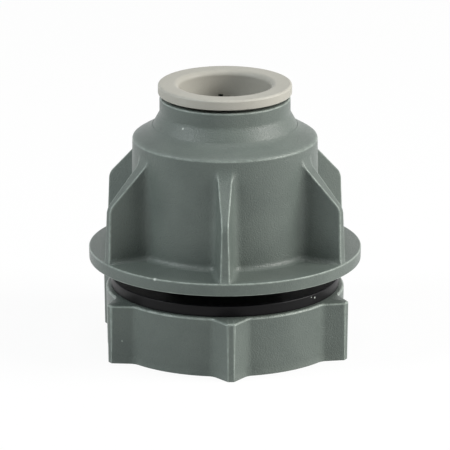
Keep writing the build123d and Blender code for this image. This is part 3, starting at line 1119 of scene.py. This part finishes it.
# %% Collet: outline
sleeve_radius, tip_radius, collet_bore = 8.95, 10.05, 7.6
collet_underside = collet_top - 1.7
slot_top = collet_top - 4.0
ramp_start, ramp_end = collet_top - 5.963, collet_top - 9.561
finger_count, slot_half_angle = 8, 0.45 / 8.3
slot_start = math.radians(95.5)
collet_corners = [
    (collet_bore, collet_bottom, 0.1),
    (tip_radius, collet_bottom, 0.2),
    (tip_radius, ramp_end, 0.4),
    (sleeve_radius, ramp_start, 0.6),
    (sleeve_radius, slot_top, 0.02),
    (sleeve_radius + 0.001, slot_top + 0.2, 0.02),
    (sleeve_radius, collet_underside, 0.2),
    (collet_flange_radius, collet_underside, 0.22),
    (collet_flange_radius, collet_top, 0.4),
    (collet_bore, collet_top, 0.9),
    (collet_bore, slot_top + 0.2, 0.02),
    (collet_bore + 0.001, slot_top, 0.02),
]
print("collet's outline:", len(outline(collet_corners)[0]), "points")

# %% Collet: slots, and the skin
slot_wall_angle, fold_radius = 0.002, collet_bore + 0.6
sector = 2 * math.pi / finger_count
slot_lines = (slot_half_angle - slot_wall_angle) * np.array([-1.0, 0.0, 1.0])
finger_lines = np.linspace(slot_half_angle, sector - slot_half_angle, 17)
in_slot = np.repeat([True, False], [len(slot_lines), len(finger_lines)])
in_slot = np.tile(in_slot, finger_count)
collet_lines = all_lines(np.concatenate([slot_lines, finger_lines]), finger_count, slot_start)
collet_points, collet_normals = turned(*outline(collet_corners), collet_lines)
radii = np.hypot(collet_points[..., 0], collet_points[..., 1])
# The fingers' tips are wider than the sleeve. Their fold goes further in, clear of the cap's cone.
kept = np.where(radii > sleeve_radius + 0.005, fold_radius, np.clip(radii, collet_bore, sleeve_radius))
cut = in_slot[:, None] & (collet_points[..., 2] < slot_top)
collet_points[..., :2] *= np.where(cut, kept / radii, 1.0)[..., None]
collet_points[..., 2] = np.where(cut, slot_top, collet_points[..., 2])
skin("collet_skin", collet_points, collet_normals, "collet", "collet_plastic", pale_plastic, "collet")

# %% [markdown]
# ## Threads
# The thread is a ridge wound round the tail, and a second one inside the nut that runs in the first one's
# groove. Each ridge is a small rounded tooth carried along a helix, which rises by one pitch a turn. A
# Screw modifier could wind it too, but carried as an array it can fade in and out, as a real one does.

# %% Threads
thread_pitch, thread_crest, nut_thread_crest = 1.814, 10.4775, 9.52
FADE_ANGLE, LINES_PER_TURN = 2.1, 90
TOOTH_ACROSS = np.array([0.44, 0.37, 0.11, 0.06, 0.0, -0.06, -0.11, -0.37, -0.44, 0.0])
TOOTH_LIFT = np.array([0.0, 0.06, 0.93, 0.99, 1.0, 0.99, 0.93, 0.06, 0.0, -0.2])


def ridge(wall, crest, low, high, start):
    """A thread: the outline of one tooth carried from low to high along a helix.

    At angle a the tooth's middle is at height low + pitch * a / (2 pi). Its size grows from nearly
    nothing over the first third of a turn and shrinks over the last, as the square root of the way along.
    The normals are the cross product of the steps along the helix and round the tooth.
    """
    turns = (high - low) / thread_pitch
    angle = np.linspace(0, 2 * np.pi * turns, int(turns * LINES_PER_TURN))[:, None]
    size = np.sqrt(np.clip(np.minimum(angle, angle[-1] - angle) / FADE_ANGLE, 0.02, 1))
    radius = wall + (crest - wall) * TOOTH_LIFT * size
    height = low + thread_pitch * (angle / (2 * np.pi) + TOOTH_ACROSS * size)
    points = np.stack([radius * np.cos(angle + start), radius * np.sin(angle + start), height], -1)
    around = np.roll(points, -1, 1) - np.roll(points, 1, 1)
    normals = np.cross(np.gradient(points, axis=0), around)
    normals *= np.sign(crest - wall) / np.linalg.norm(normals, axis=-1, keepdims=True)
    return points, normals


tail_thread_low, tail_thread_high = tail_end + 0.9, flange_bottom - 1.4
nut_thread_low, nut_thread_high = nut_bottom + 1.1, nut_top - 1.1
tail_ridge = ridge(thread_root_radius, thread_crest, tail_thread_low, tail_thread_high, 0.0)
skin("tail_thread", *tail_ridge, "fitting", "body_plastic", grey_plastic, ring=False)
# Half a turn more than the rise between the two starts puts the nut's tooth into the tail's groove.
groove_start = -2 * math.pi * ((tail_thread_low - nut_thread_low) / thread_pitch + 0.5)
nut_ridge = ridge(nut_thread_root, nut_thread_crest, nut_thread_low, nut_thread_high, groove_start)
skin("nut_thread", *nut_ridge, "nut", "body_plastic", grey_plastic, ring=False)

# %% [markdown]
# ## Grip teeth
# Eight small steel teeth sit in the collet's fingers and bite the tube. Their solids already have the right
# shape, so they stay, and only get a stainless finish: metal whose grain varies the colour and the gloss.

# %% Teeth
STEEL_GRAIN_GAIN, STEEL_ROUGHNESS = 0.15, 0.25
steel = bpy.data.materials.new("tooth_steel")
steel.use_nodes = True
tree = steel.node_tree
shader = tree.nodes["Principled BSDF"]
shader.inputs["Metallic"].default_value = 1.0
grained = place_group(tree, grain, Grains_per_metre=6000.0)
steel_colour = tint(tree, grained.outputs["Mottle"], linear((170, 172, 175)), linear((200, 202, 205)))
steel_rough = maths(tree, "MULTIPLY_ADD", grained.outputs["Height"], STEEL_GRAIN_GAIN, STEEL_ROUGHNESS)
tree.links.new(steel_colour, shader.inputs["Base Color"])
tree.links.new(steel_rough, shader.inputs["Roughness"])
for node_name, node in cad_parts.items():
    if node_name.startswith("tooth_"):
        node.data.materials.clear()
        node.data.materials.append(steel)
print("teeth:", sum(name.startswith("tooth_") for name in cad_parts))

# %% [markdown]
# ## Sizes, and the end
# The solids' box and the box of all that is seen now are kept side by side, so that they can be compared.

# %% Compare the sizes
look_low, look_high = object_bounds()
apart = max((look_low - cad_low).length, (look_high - cad_high).length) * PER_METRE
print("boxes agree within", round(apart, 3), "mm")
